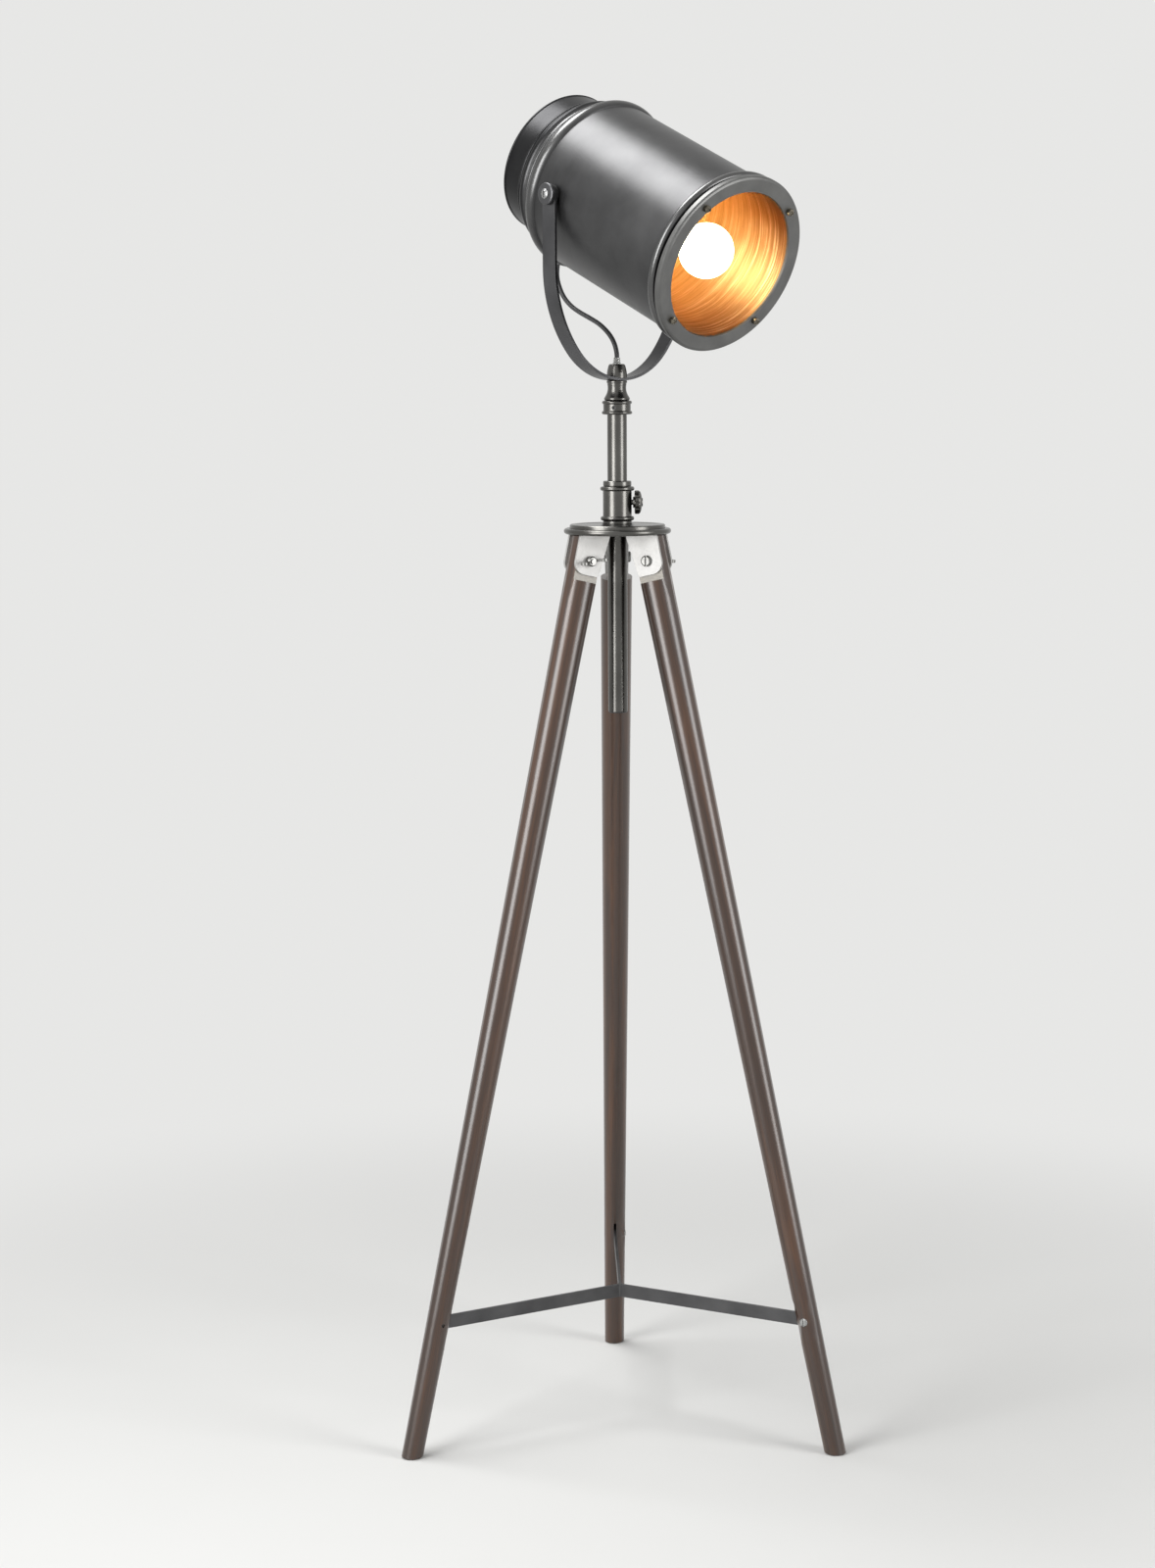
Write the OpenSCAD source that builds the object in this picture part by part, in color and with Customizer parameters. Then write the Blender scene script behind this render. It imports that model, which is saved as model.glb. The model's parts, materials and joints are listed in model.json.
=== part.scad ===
// Tripod spotlight floor lamp: three turned wooden legs under a plated hub,
// a sliding metal mast, and a can-shaped spotlight head in a U-shaped yoke.
// Millimetres, +Z up. The origin is on the floor under the mast's axis, and
// -Y is the side the lamp is seen from. Each sub-part is one module.

/* [Tripod] */
// Height of the hinge bolts at the legs' tops
bolt_z = 1000; // [960:5:1040]
// Distance of each hinge bolt from the mast's axis
bolt_r = 44.2; // [43.6:0.2:46]
// Distance of each foot's centre from the mast's axis
foot_r = 275.5; // [255:0.5:300]
// Leg diameter at the hinge bolt
leg_top_d = 36.4; // [35:0.2:38]
// Leg diameter at the floor
leg_foot_d = 24; // [22:0.5:28]
// Height of the spreader's bars above the floor
spreader_z = 150; // [120:5:220]

/* [Hub] */
// Height of the hub's underside above the hinge bolts
hub_rise = 28.5; // [28:0.5:32]
// Largest diameter of the hub disc
hub_d = 120.8; // [116:0.4:126]
// Height of the collar above the hub disc
collar_h = 47.5; // [44:0.5:56]

/* [Mast] */
// Outer diameter of the mast tube
mast_d = 22; // [20:0.2:22.4]
// Wall thickness of the mast tube
mast_wall = 1.5; // [1.2:0.1:2]
// Height of the mast tube's lower end above the floor
mast_low_z = 828; // [760:1:900]
// Height of the seat under the yoke above the floor
yoke_low_z = 1199.8; // [1180:0.2:1260]

/* [Yoke] */
// Gap between the can's wall and the yoke's arms
arm_gap = 4.1; // [3.5:0.1:6]
// Width of the yoke's flat strap
strap_w = 20; // [16:0.5:22]
// Thickness of the yoke's flat strap
strap_t = 3; // [2.5:0.1:3]
// Height of the tilting axis above the yoke's seat
pivot_rise = 202.5; // [200:0.5:212]

/* [Head] */
// Radius of the can's plain wall
can_r = 94.4; // [91:0.2:97]
// Distance from the tilting axis to the front of the bezel
head_front = 195.5; // [190:0.5:200]
// Distance from the tilting axis to the rear of the can
head_rear = 101.6; // [98:0.2:106]
// Width of the bezel's flat ring
bezel_w = 18; // [16:0.5:20]
// Sheet thickness of the can and its cap
sheet = 1.5; // [1.2:0.1:1.6]

/* [Pose as photographed] */
// Turn of the head about the mast, clockwise from +X
head_turn = 48.2; // [-170:0.1:170]
// Tilt of the head below the horizontal
head_dip = 24.1; // [-50:0.1:38]

/* [Hidden] */
$fn = 96;

// Clearances: a running fit, a loose fit and a seat between still pieces
run_gap = 0.05;
loose_gap = 0.3;
turn_gap = 0.2;

// Tripod
leg_lean = atan((foot_r - bolt_r) / bolt_z);
leg_len = sqrt(pow(foot_r - bolt_r, 2) + pow(bolt_z, 2));
leg_flat = 10.3;
leg_shoulder = 23.5;
ear_t = 2.8;
ear_half = leg_top_d / 2;
ear_drop = 16;
ear_corner = 13;
ear_join = 0.2;
ear_top_in_r = 17;
bolt_d = 6;
bolt_head_d = 12.4;
bolt_head_h = 3.4;
nut_boss_d = 11.5;
nut_boss_h = 7;
wing_span = 34;
wing_t = 2.8;

// Spreader
bar_h = 15;
bar_t = 3;
spread_r = foot_r - spreader_z * tan(leg_lean);
bar_screw_d = 4;
bar_screw_head_d = 9.6;
slot_depth = 9;
slot_inset = 30;
slot_over = 9;

// Hub and collar
hub_z = bolt_z + hub_rise;
plate_t = 5;
plate_r = hub_d / 2 - 8.4;
disc_rim_r = hub_d / 2 - 6.65;
disc_h = 11;
disc_top_z = hub_z + disc_h;
spigot_r = mast_d / 2 + 2.5;
collar_r = mast_d / 2 + 5.2;
collar_z = disc_top_z + 1;
collar_top_z = collar_z + collar_h;
knob_z = collar_z + 23.5;
knob_r = 13.3;
knob_in = collar_r + 1.4;
knob_out = knob_in + 10.9;
knob_flutes = 12;
knob_thread_d = 6;

// Mast, swivel ring and neck
mast_r = mast_d / 2;
ring_low_z = yoke_low_z - 37.6;
ring_top_z = yoke_low_z - 22.3;
mast_top_z = ring_top_z - 5.5;
tube_r = 5;
tube_bore_r = tube_r - 1.4;
nut_base_z = yoke_low_z + strap_t;
dome_h = 15.4;
bush_h = 7;
lead_r = 2.7;
lead_gap = 0.3;
grommet_r = lead_r + lead_gap + 0.9;

// Yoke: a bottom arc, two side arcs and two straight arms
yoke_half = can_r + arm_gap + strap_t;
pivot_z = yoke_low_z + pivot_rise;
low_arc_r = yoke_half - 13.5;
arc_drop = low_arc_r + 36;
arc_z = yoke_low_z + arc_drop;
arc_lift = arc_drop - low_arc_r;
side_arc_r = (pow(yoke_half, 2) + pow(arc_lift, 2) - pow(low_arc_r, 2)) / (2 * (yoke_half - low_arc_r));
side_arc_in = side_arc_r - yoke_half;
side_sweep = atan(arc_lift / side_arc_in);

// Can, along its own axis from the pivot (front positive)
can_in_r = can_r - sheet;
front_bead = 5;
front_bead_r = can_r + 5.4;
front_bead_a = head_front - 17;
bezel_r = can_r + 6;
bezel_a = head_front - 7.5;
bezel_t = 3;
bezel_rim_r = can_in_r - 1.4;
opening_r = bezel_r - bezel_w;
rear_bead = 9;
rear_bead_r = can_r + 3.8;
rear_bead_a = -34.5;
shoulder_a = rear_bead_a - rear_bead;
shoulder_r = can_r - 7.5;
band_r = shoulder_r + 1.4;
band_crown = 2;
band_low_a = shoulder_a - 11.5;
band_high_a = band_low_a - 9;
cap_bead_a = band_high_a - 6;
cap_wall_r = band_r - 5;
cap_side_r = cap_wall_r - 3.8;
lead_a = (band_low_a + band_high_a) / 2;

// Pivots
pad_r = 9;
pad_in = can_in_r - 0.8;
pad_out = can_r + 0.4;
pivot_d = 6;
pivot_nut_h = 4.6;
pivot_nut_in = pad_in - pivot_nut_h;
washer_r = 10;
cap_r = 12;
cap_h = 5;
cap_in = yoke_half + turn_gap;
screw_head_r = 5.4;

// Reflector, bezel screws, lamp holder and bulb
liner_r = opening_r + 0.6;
liner_t = 1;
liner_back_a = 46;
liner_lap = 10;
flange_r = can_in_r - 1.6;
flange_a = head_front - bezel_t - 0.1;
bezel_screw_r = opening_r + 6.8;
bezel_screw_d = 3;
bezel_screw_head_r = 3.9;
bezel_screw_head_h = 5.8;
holder_r = 20;
holder_seat_r = holder_r + 1;
bulb_r = 30;
bulb_a = 155;
bulb_neck_a = bulb_a - 56;
bulb_cap_a = bulb_neck_a - 29;
bulb_cap_r = 13.2;
holder_bore_r = bulb_cap_r + 0.8;

// Route of the lead from the dome nut up to the can's rear, as distances
// in front of the mast's axis and heights above the yoke's seat
lead_path = [
    [0, 18.6], [0, 29], [-3, 39], [-9, 48], [-18, 56], [-30, 63.5], [-45, 70],
    [-60, 76], [-74, 83], [-86, 92.5], [-94, 104], [-98.5, 117], [-97.5, 130]
];

// ---- placing helpers ----

// One of the three legs' own planes: X outward, Y sideways, Z up
module leg_plane(i) {
    rotate([0, 0, 90 + 120 * i]) children();
}

// A leg's own axis: Z up along the leg, origin at the hinge bolt
module leg_axis() {
    translate([bolt_r, 0, bolt_z]) rotate([0, -leg_lean, 0]) children();
}

// The yoke's frame: X forward, Y sideways, Z up from the floor
module yoke_frame() {
    rotate([0, 0, -head_turn]) children();
}

// The head's frame: Z forward along the can, X down, origin on the pivot axis
module head_frame() {
    yoke_frame() translate([0, 0, pivot_z]) rotate([0, 90 + head_dip, 0]) children();
}

// A ring or disc turned about Z from an outline of [radius, height]
module turned(outline) {
    rotate_extrude() polygon(outline);
}

// Copies for the yoke's two sides: Z points outward along the pivot axis
module both_pivots() {
    for (side = [-1, 1]) {
        yoke_frame() translate([0, 0, pivot_z]) rotate([-90 * side, 0, 0]) children();
    }
}

// ---- legs and hub ----

function leg_r_at(s) = leg_top_d / 2 + (leg_foot_d - leg_top_d) / 2 * (-s) / leg_len;

module leg_solid() {
    low = -leg_len - 12;
    high = 48;
    translate([0, 0, low]) cylinder(h = high - low, r1 = leg_r_at(low), r2 = leg_r_at(high));
}

// Room the leg keeps: above the floor, under the hub, with a broken foot edge
module leg_room() {
    edge = 2;
    foot = leg_foot_d / 2 / cos(leg_lean);
    translate([foot_r, 0, 0]) cylinder(h = edge, r1 = foot - edge, r2 = foot + 0.3);
    translate([0, -leg_top_d, edge])
        cube([foot_r + 2 * leg_top_d, 2 * leg_top_d, hub_z - loose_gap - edge]);
}

module leg(i) {
    slot_in = spread_r - slot_inset;
    slot_low = spreader_z - bar_h / 2 - 1;
    flat_h = 2 * leg_top_d;
    color([0.26, 0.19, 0.14]) leg_plane(i) difference() {
        intersection() {
            leg_axis() leg_solid();
            leg_room();
        }
        // flats that the hub's ears lie against
        for (side = [-1, 1]) {
            leg_axis() translate([0, side * (leg_flat + leg_top_d / 2), flat_h / 2 - leg_shoulder])
                cube([2 * leg_top_d, leg_top_d, flat_h], center = true);
        }
        // hinge bolt's bore
        translate([bolt_r, 0, bolt_z]) rotate([90, 0, 0])
            cylinder(h = 2 * leg_top_d, d = bolt_d + 2 * run_gap, center = true);
        // saw cut for the spreader's bar, open upward a little over it
        translate([slot_in, -bar_t / 2 - run_gap, slot_low])
            cube([slot_inset + slot_depth, bar_t + 2 * run_gap, bar_h + 1 + slot_over]);
        // screw across the saw cut, its head let into the wood
        translate([spread_r, 0, spreader_z]) rotate([90, 0, 0]) {
            cylinder(h = 2 * leg_top_d, d = bar_screw_d + 2 * run_gap, center = true);
            translate([0, 0, leg_foot_d / 2 - 1])
                cylinder(h = leg_top_d, d = bar_screw_head_d + 2 * run_gap);
        }
    }
}

module leg_1() { leg(0); }
module leg_2() { leg(1); }
module leg_3() { leg(2); }

// Outline of one ear in the leg's plane, along and across the leg's axis
module ear_outline() {
    translate([bolt_r, bolt_z]) rotate(leg_lean) {
        polygon([
            [-20.1, 33.9], [-18, 60], [ear_half, 60], [ear_half, ear_corner - ear_drop],
            [ear_half - ear_corner, -ear_drop], [-13, -ear_drop], [-14.7, -ear_drop + 2]
        ]);
        translate([ear_half - ear_corner, ear_corner - ear_drop]) circle(r = ear_corner);
    }
}

module leg_hub() {
    low = bolt_z - leg_top_d;
    color([0.86, 0.86, 0.85]) difference() {
        union() {
            translate([0, 0, hub_z]) cylinder(h = plate_t, r = plate_r);
            for (i = [0:2], side = [-1, 1]) {
                leg_plane(i) translate([0, side * (leg_flat + ear_t / 2) + ear_t / 2, 0])
                    rotate([90, 0, 0]) linear_extrude(ear_t) intersection() {
                        ear_outline();
                        translate([ear_top_in_r, low]) square([2 * leg_top_d, hub_z + ear_join - low]);
                    }
            }
        }
        translate([0, 0, hub_z - 1]) cylinder(h = plate_t + 2, r = spigot_r + run_gap);
        for (i = [0:2]) {
            leg_plane(i) translate([bolt_r, 0, bolt_z]) rotate([90, 0, 0])
                cylinder(h = 2 * leg_top_d, d = bolt_d + 2 * run_gap, center = true);
        }
    }
}

module hub_disc() {
    bead = 3.2;
    rim_base_z = hub_z + 2 * ear_join;
    rim_low_z = rim_base_z + 6.1;
    color([0.30, 0.30, 0.32]) difference() {
        rotate_extrude() {
            polygon([
                [spigot_r + run_gap, hub_z + plate_t + loose_gap],
                [plate_r + loose_gap, hub_z + plate_t + loose_gap],
                [plate_r + loose_gap, rim_base_z],
                [hub_d / 2 - bead, rim_base_z],
                [hub_d / 2 - bead, rim_low_z],
                [disc_rim_r, rim_low_z],
                [disc_rim_r, disc_top_z - 1],
                [disc_rim_r - 1, disc_top_z],
                [disc_rim_r - 6, disc_top_z],
                [disc_rim_r - 8, disc_top_z - 0.6],
                [collar_r + 4, disc_top_z + 0.4],
                [collar_r + 2, collar_z],
                [spigot_r + run_gap, collar_z]
            ]);
            translate([hub_d / 2 - bead, rim_base_z + bead]) circle(r = bead, $fn = 48);
        }
    }
}

module collar() {
    bead = 2.4;
    low_bead_z = collar_z + 5.6;
    high_bead_z = collar_z + collar_h - 8.6;
    color([0.33, 0.33, 0.35]) difference() {
        rotate_extrude() {
            polygon([
                [mast_r + run_gap, hub_z],
                [spigot_r, hub_z],
                [spigot_r, collar_z],
                [collar_r, collar_z],
                [collar_r, collar_z + 2.6],
                [collar_r - 0.8, collar_z + 3.2],
                [collar_r, collar_z + 3.8],
                [collar_r, high_bead_z + bead],
                [collar_r - 0.8, high_bead_z + bead + 0.6],
                [collar_r - 0.3, high_bead_z + bead + 1.2],
                [collar_r - 0.3, collar_top_z - 0.8],
                [collar_r - 1.1, collar_top_z],
                [mast_r + run_gap, collar_top_z]
            ]);
            translate([collar_r + 0.4, low_bead_z]) circle(r = bead, $fn = 48);
            translate([collar_r + 0.7, high_bead_z]) circle(r = bead, $fn = 48);
        }
        // tapped bore for the clamp knob's screw
        translate([mast_r - 1, 0, knob_z]) rotate([0, 90, 0])
            cylinder(h = 20, d = knob_thread_d + 2 * run_gap);
        // the mast's bore, cut again where the beads' circles reach it
        translate([0, 0, hub_z - 1]) cylinder(h = collar_top_z - hub_z + 2, r = mast_r + run_gap);
    }
}

// ---- fasteners of the tripod ----

module leg_bolts() {
    ear_out = leg_flat + ear_t;
    color([0.72, 0.72, 0.72]) for (i = [0:2]) {
        leg_plane(i) translate([bolt_r, 0, bolt_z]) rotate([90, 0, 0]) difference() {
            union() {
                translate([0, 0, -ear_out - nut_boss_h - 2]) cylinder(h = 2 * ear_out + nut_boss_h + 2, d = bolt_d);
                translate([0, 0, ear_out]) cylinder(h = bolt_head_h - 1.2, d = bolt_head_d);
                translate([0, 0, ear_out + bolt_head_h - 1.2])
                    cylinder(h = 1.2, d1 = bolt_head_d, d2 = bolt_head_d - 3);
            }
            // driver slot, upright
            translate([0, 0, ear_out + bolt_head_h]) cube([1.6, 20, 3], center = true);
        }
    }
}

// One wing of a wing nut: an upright blade that leans outward
module wing_blade() {
    rotate([90, 0, 0]) translate([0, 0, -wing_t / 2]) linear_extrude(wing_t) {
        polygon([
            [nut_boss_d / 2 - 1.5, 1], [wing_span / 2 - 5, 5], [wing_span / 2 - 2, 7.2],
            [wing_span / 2 - 5.5, 13], [nut_boss_d / 2 - 1.5, 6.5]
        ]);
        translate([wing_span / 2 - 4, 10]) circle(r = 4, $fn = 48);
    }
}

module wing_nut(i) {
    ear_out = leg_flat + ear_t;
    color([0.74, 0.74, 0.74]) leg_plane(i) translate([bolt_r, ear_out + 0.1, bolt_z]) rotate([-90, 0, 0])
        rotate([0, 0, 8]) difference() {
            union() {
                cylinder(h = nut_boss_h - 2, d = nut_boss_d);
                translate([0, 0, nut_boss_h - 2]) cylinder(h = 2, d1 = nut_boss_d, d2 = nut_boss_d - 3);
                wing_blade();
                rotate([0, 0, 180]) wing_blade();
            }
            translate([0, 0, -1]) cylinder(h = 30, d = bolt_d + 2 * run_gap);
        }
}

module wing_nut_1() { wing_nut(0); }
module wing_nut_2() { wing_nut(1); }
module wing_nut_3() { wing_nut(2); }

module spreader() {
    reach = spread_r + slot_depth - 1;
    color([0.45, 0.45, 0.46]) difference() {
        union() {
            for (i = [0:2]) {
                leg_plane(i) translate([0, -bar_t / 2, spreader_z - bar_h / 2]) cube([reach, bar_t, bar_h]);
            }
            translate([0, 0, spreader_z - bar_h / 2]) cylinder(h = bar_h, d = 2 * bar_t);
        }
        for (i = [0:2]) {
            leg_plane(i) translate([spread_r, 0, spreader_z]) rotate([90, 0, 0])
                cylinder(h = 20, d = bar_screw_d + 2 * run_gap, center = true);
        }
    }
}

module spreader_screws() {
    seat = leg_foot_d / 2 - 1;
    color([0.80, 0.80, 0.79]) for (i = [0:2]) {
        leg_plane(i) translate([spread_r, 0, spreader_z]) rotate([90, 0, 0]) difference() {
            union() {
                translate([0, 0, -seat + 2]) cylinder(h = 2 * seat - 2, d = bar_screw_d);
                translate([0, 0, seat]) cylinder(h = 1.4, d = bar_screw_head_d);
                translate([0, 0, seat + 1.4])
                    cylinder(h = 1.2, d1 = bar_screw_head_d, d2 = bar_screw_head_d - 3.5);
            }
            translate([0, 0, seat + 2.6]) cube([1.2, 20, 2.4], center = true);
        }
    }
}

// ---- clamp knob ----

module clamp_knob() {
    flute_r = knob_r + 0.9;
    color([0.32, 0.32, 0.34]) translate([0, 0, knob_z]) rotate([0, 90, 0]) difference() {
        union() {
            turned([
                [0, mast_r + 0.1], [knob_thread_d / 2 - 0.6, mast_r + 0.1],
                [knob_thread_d / 2, mast_r + 0.8], [knob_thread_d / 2, knob_in],
                [6, knob_in], [6.4, knob_in + 1.4], [knob_r - 1, knob_in + 1.8], [knob_r, knob_in + 2.8],
                [knob_r, knob_in + 6.2], [knob_r - 1.2, knob_in + 8], [knob_r - 4, knob_in + 9.3],
                [6, knob_in + 9.9], [5, knob_in + 9.9], [4.6, knob_out], [0, knob_out]
            ]);
        }
        for (k = [0:knob_flutes - 1]) {
            rotate([0, 0, k * 360 / knob_flutes]) translate([flute_r, 0, knob_in + 1])
                cylinder(h = 12, r = 1.8, $fn = 32);
        }
    }
}

// ---- mast ----

module mast_tube() {
    color([0.30, 0.30, 0.32]) translate([0, 0, mast_low_z]) difference() {
        cylinder(h = mast_top_z - mast_low_z, r = mast_r);
        translate([0, 0, -1]) cylinder(h = mast_top_z - mast_low_z + 2, r = mast_r - mast_wall);
    }
}

// Plastic bush in the mast's lower end, where a cord leaves the tube
module mast_bush() {
    inner = mast_r - mast_wall - run_gap;
    color([0.07, 0.07, 0.07]) turned([
        [4, mast_low_z - 1.6], [mast_r - 1.2, mast_low_z - 1.6], [mast_r - 0.4, mast_low_z - 0.8],
        [mast_r - 0.4, mast_low_z], [inner, mast_low_z], [inner, mast_low_z + 8], [4, mast_low_z + 8]
    ]);
}

module swivel_ring() {
    bead = 2;
    wall_r = mast_r + 4.4;
    color([0.34, 0.34, 0.36]) difference() {
        rotate_extrude() {
            polygon([
                [tube_r + run_gap, mast_top_z], [mast_r + run_gap, mast_top_z],
                [mast_r + run_gap, ring_low_z], [wall_r - 1.5, ring_low_z],
                [wall_r, ring_low_z + bead], [wall_r, ring_top_z - 0.4], [wall_r - 0.4, ring_top_z],
                [tube_r + run_gap, ring_top_z]
            ]);
            translate([wall_r - 0.3, ring_low_z + bead]) circle(r = bead, $fn = 48);
            translate([wall_r - 0.6, ring_top_z - bead]) circle(r = bead, $fn = 48);
        }
        // tapped bore for the set screw
        rotate([0, 0, 254]) translate([mast_r - 0.5, 0, ring_low_z + 7.6]) rotate([0, 90, 0])
            cylinder(h = 10, r = 2 + run_gap);
    }
}

module ring_screw() {
    color([0.12, 0.12, 0.12]) rotate([0, 0, 254]) translate([mast_r + run_gap, 0, ring_low_z + 7.6])
        rotate([0, 90, 0]) difference() {
            cylinder(h = 3.6, r = 2);
            translate([0, 0, 1.8]) cylinder(h = 4, r = 1.1, $fn = 6);
        }
}

// ---- neck and yoke ----

// Bell-shaped neck that turns on the swivel ring and carries the yoke
module neck() {
    low = ring_top_z + turn_gap;
    color([0.34, 0.34, 0.36]) turned([
        [tube_r + run_gap, low], [13.4, low], [14.4, low + 1], [14.5, low + 2.4], [13.6, low + 4],
        [12.6, low + 5.6], [11.7, low + 7.4], [11, low + 9.4], [10.5, low + 11.6], [10.3, low + 13.6],
        [10.4, low + 15.6], [10.7, low + 17.4], [10.7, yoke_low_z - 3], [11.5, yoke_low_z - 2.4],
        [11.5, yoke_low_z - 0.8], [11.1, yoke_low_z], [tube_r + run_gap, yoke_low_z]
    ]);
}

// Points of an arc about a centre, between two angles
function arc_points(centre, r, from, to, steps) =
    [for (k = [0:steps]) let (w = from + k * (to - from) / steps) centre + r * [cos(w), sin(w)]];

// Half of the strap's curve seen from the front, set in from its outer face:
// an arm's top, the side arc and half of the bottom arc
function strap_half(inset) = concat(
    [[yoke_half - inset, pivot_z]],
    arc_points([-side_arc_in, arc_z], side_arc_r - inset, 0, -side_sweep, 20),
    arc_points([0, yoke_low_z + low_arc_r], low_arc_r - inset, -side_sweep - 2.5, -90, 20)
);
function strap_curve(inset) =
    let (half = strap_half(inset), last = len(half) - 1)
    concat(half, [for (k = [last - 1:-1:0]) [-half[k][0], half[k][1]]]);

// The whole strap, bent from one flat bar, its width along Y
module strap() {
    inner = strap_curve(strap_t);
    rotate([90, 0, 0]) translate([0, 0, -strap_w / 2]) linear_extrude(strap_w)
        polygon(concat(strap_curve(0), [for (k = [len(inner) - 1:-1:0]) inner[k]]));
}

module yoke() {
    color([0.36, 0.36, 0.38]) yoke_frame() rotate([0, 0, 90]) difference() {
        union() {
            strap();
            for (turn = [0, 180]) {
                rotate([0, 0, turn]) translate([yoke_half - strap_t, 0, pivot_z]) rotate([0, 90, 0])
                    cylinder(h = strap_t, d = strap_w);
            }
        }
        // pivot bores and the centre bore for the threaded tube
        translate([0, 0, pivot_z]) rotate([0, 90, 0])
            cylinder(h = 2 * yoke_half + 20, d = pivot_d + 2 * run_gap, center = true);
        translate([0, 0, yoke_low_z - 5]) cylinder(h = 20, r = tube_r + run_gap);
    }
}

// Hollow threaded tube that ties neck, yoke and dome nut together
module neck_tube() {
    color([0.62, 0.55, 0.36]) translate([0, 0, mast_top_z - 7]) difference() {
        cylinder(h = nut_base_z + dome_h - 4 - mast_top_z + 7, r = tube_r);
        translate([0, 0, -1]) cylinder(h = 80, r = tube_bore_r);
    }
}

// Retaining nut on the threaded tube, inside the mast's upper end
module neck_nut() {
    color([0.62, 0.55, 0.36]) translate([0, 0, mast_top_z - 6]) difference() {
        cylinder(h = 5.7, r = 8.1, $fn = 6);
        translate([0, 0, -1]) cylinder(h = 8, r = tube_r + run_gap);
    }
}

// Dome nut above the strap, its foot saddled to the strap's curve
module dome_nut() {
    color([0.34, 0.34, 0.36]) difference() {
        turned([
            [tube_r + run_gap, nut_base_z], [11.35, nut_base_z], [11.35, nut_base_z + 3],
            [11.1, nut_base_z + 6], [10.6, nut_base_z + 9], [9.9, nut_base_z + 12],
            [9.3, nut_base_z + 14], [8.4, nut_base_z + dome_h - 0.3], [7.2, nut_base_z + dome_h],
            [lead_r + lead_gap + 0.8, nut_base_z + dome_h], [lead_r + lead_gap + 0.8, nut_base_z + dome_h - 3],
            [tube_r + run_gap, nut_base_z + dome_h - 3]
        ]);
        yoke_frame() rotate([0, 0, 90]) strap();
    }
}

// Clear plastic strain relief on the dome nut
module lead_bush() {
    low = nut_base_z + dome_h;
    bore = lead_r + lead_gap;
    color([0.85, 0.85, 0.82]) turned([
        [bore, low], [4.6, low], [4.6, low + 1], [4, low + 1.6], [3.8, low + bush_h - 0.6],
        [3.4, low + bush_h], [bore, low + bush_h]
    ]);
}

// ---- pivots ----

module pivot_washers() {
    color([0.12, 0.12, 0.12]) both_pivots() translate([0, 0, pad_out]) difference() {
        cylinder(h = yoke_half - strap_t - turn_gap / 2 - pad_out, r = washer_r);
        translate([0, 0, -1]) cylinder(h = 6, d = pivot_d + 2 * run_gap);
    }
}

module pivot_caps() {
    color([0.34, 0.34, 0.36]) both_pivots() translate([0, 0, cap_in]) difference() {
        turned([
            [0, 0], [cap_r - 0.5, 0], [cap_r, 0.5], [cap_r, cap_h - 1.2], [cap_r - 0.5, cap_h - 0.4],
            [cap_r - 1.4, cap_h], [0, cap_h]
        ]);
        translate([0, 0, -1]) cylinder(h = 10, d = pivot_d + 2 * run_gap);
    }
}

module pivot_screws() {
    head_a = cap_in + cap_h;
    color([0.60, 0.60, 0.60]) both_pivots() difference() {
        union() {
            translate([0, 0, pivot_nut_in - 1.1]) cylinder(h = head_a - pivot_nut_in + 1.1, d = pivot_d);
            translate([0, 0, head_a]) cylinder(h = 0.8, r = screw_head_r);
            translate([0, 0, head_a + 0.8]) cylinder(h = 1.5, r1 = screw_head_r, r2 = screw_head_r - 2.2);
        }
        translate([0, 0, head_a + 2.4]) cube([1.4, 20, 2.6], center = true);
    }
}

module pivot_nuts() {
    color([0.60, 0.60, 0.60]) both_pivots() translate([0, 0, pivot_nut_in]) difference() {
        cylinder(h = pivot_nut_h, r = 5.77, $fn = 6);
        translate([0, 0, -1]) cylinder(h = pivot_nut_h + 2, d = pivot_d + 2 * run_gap);
    }
}

// ---- head ----

module can() {
    rear_in_r = rear_bead_r - rear_bead;
    front_in_r = front_bead_r - front_bead;
    color([0.42, 0.42, 0.44]) difference() {
        union() {
            head_frame() rotate_extrude($fn = 144) difference() {
                union() {
                    translate([can_in_r, rear_bead_a]) square([sheet, bezel_a - loose_gap - rear_bead_a]);
                    translate([rear_in_r, rear_bead_a]) circle(r = rear_bead);
                    translate([shoulder_r, shoulder_a]) square([rear_in_r - shoulder_r + 1, sheet]);
                    translate([front_in_r, front_bead_a]) circle(r = front_bead);
                }
                // hollow of the rolled beads and of the can
                translate([rear_in_r, rear_bead_a]) circle(r = rear_bead - sheet);
                translate([front_in_r, front_bead_a]) circle(r = front_bead - sheet);
                translate([0, rear_bead_a - 0.01]) square([can_in_r, head_front - rear_bead_a]);
                translate([0, shoulder_a + sheet]) square([rear_in_r, 2 * rear_bead]);
                translate([0, shoulder_a - rear_bead]) square([shoulder_r, 2 * rear_bead]);
            }
            // flat pads under the pivot washers
            both_pivots() translate([0, 0, pad_in]) cylinder(h = pad_out - pad_in, r = pad_r);
        }
        both_pivots() translate([0, 0, pad_in - 5]) cylinder(h = 20, d = pivot_d + 2 * run_gap);
    }
}

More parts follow.
